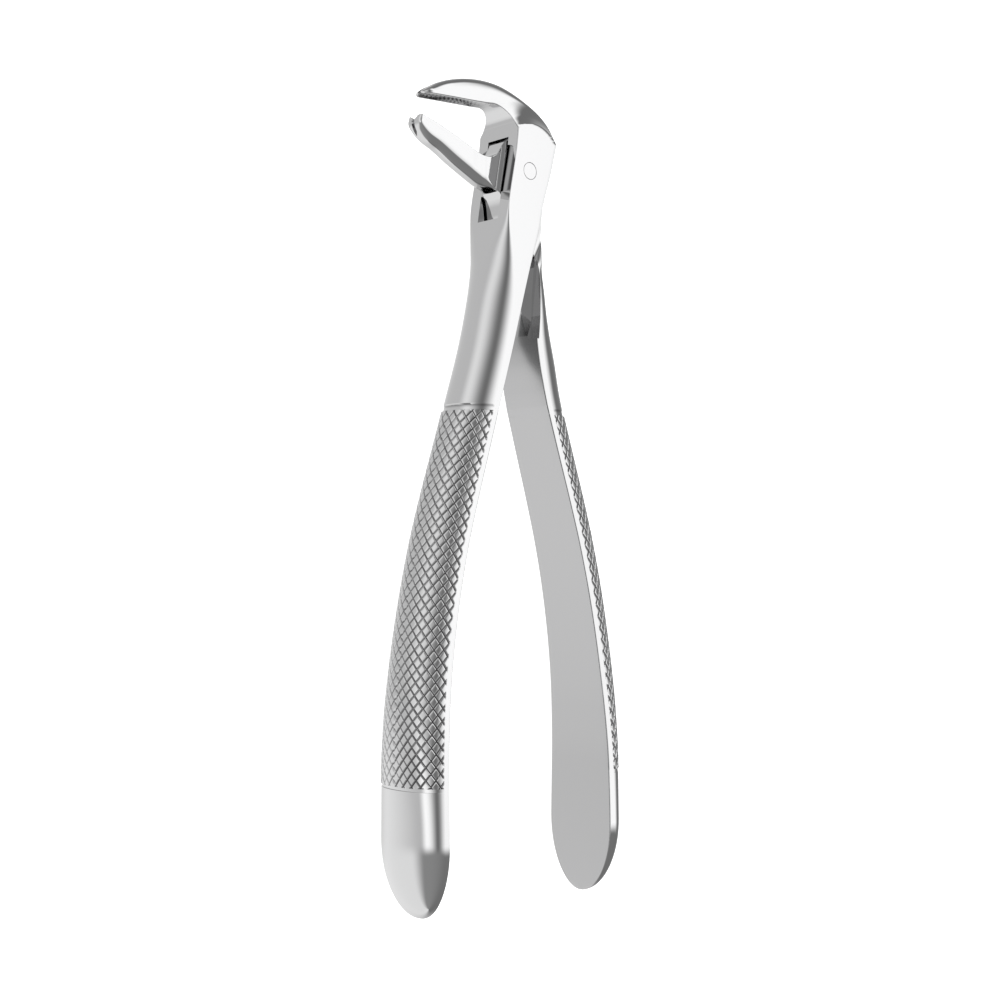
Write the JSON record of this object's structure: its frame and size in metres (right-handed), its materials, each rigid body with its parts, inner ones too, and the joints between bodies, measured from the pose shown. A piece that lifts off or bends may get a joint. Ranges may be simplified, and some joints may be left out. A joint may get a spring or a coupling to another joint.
{
  "type": "dental extraction forceps",
  "caption": "Lower extraction forceps with a box joint: hooked narrow beaks at a right angle to long bowed handles with knurled backs and rounded ends",
  "frame": {"origin": "on the joint pin's axis, in the flat outer face of the lower cheek, where the pin's end is ground flush", "axes": "+Z along the joint pin, out of the upper cheek; -Y along the handles, away from the joint; -X the way the beaks point"},
  "size_m": [0.051, 0.1517, 0.0166],
  "materials": {
    "polished_steel": "mirror polished stainless steel, knurled on the handle backs",
    "pin_steel": "polished flush with the cheeks"
  },
  "bodies": {
    "female": {"female_half": "polished_steel", "joint_pin": "pin_steel"},
    "male": {"male_half": "polished_steel"}
  },
  "joints": [
    {"name": "box_joint", "type": "hinge", "parent": "female", "child": "male", "pos_m": [0, 0, 0.0055], "axis": [0, 0, 1], "range_deg": [-9.5, 25]}
  ]
}
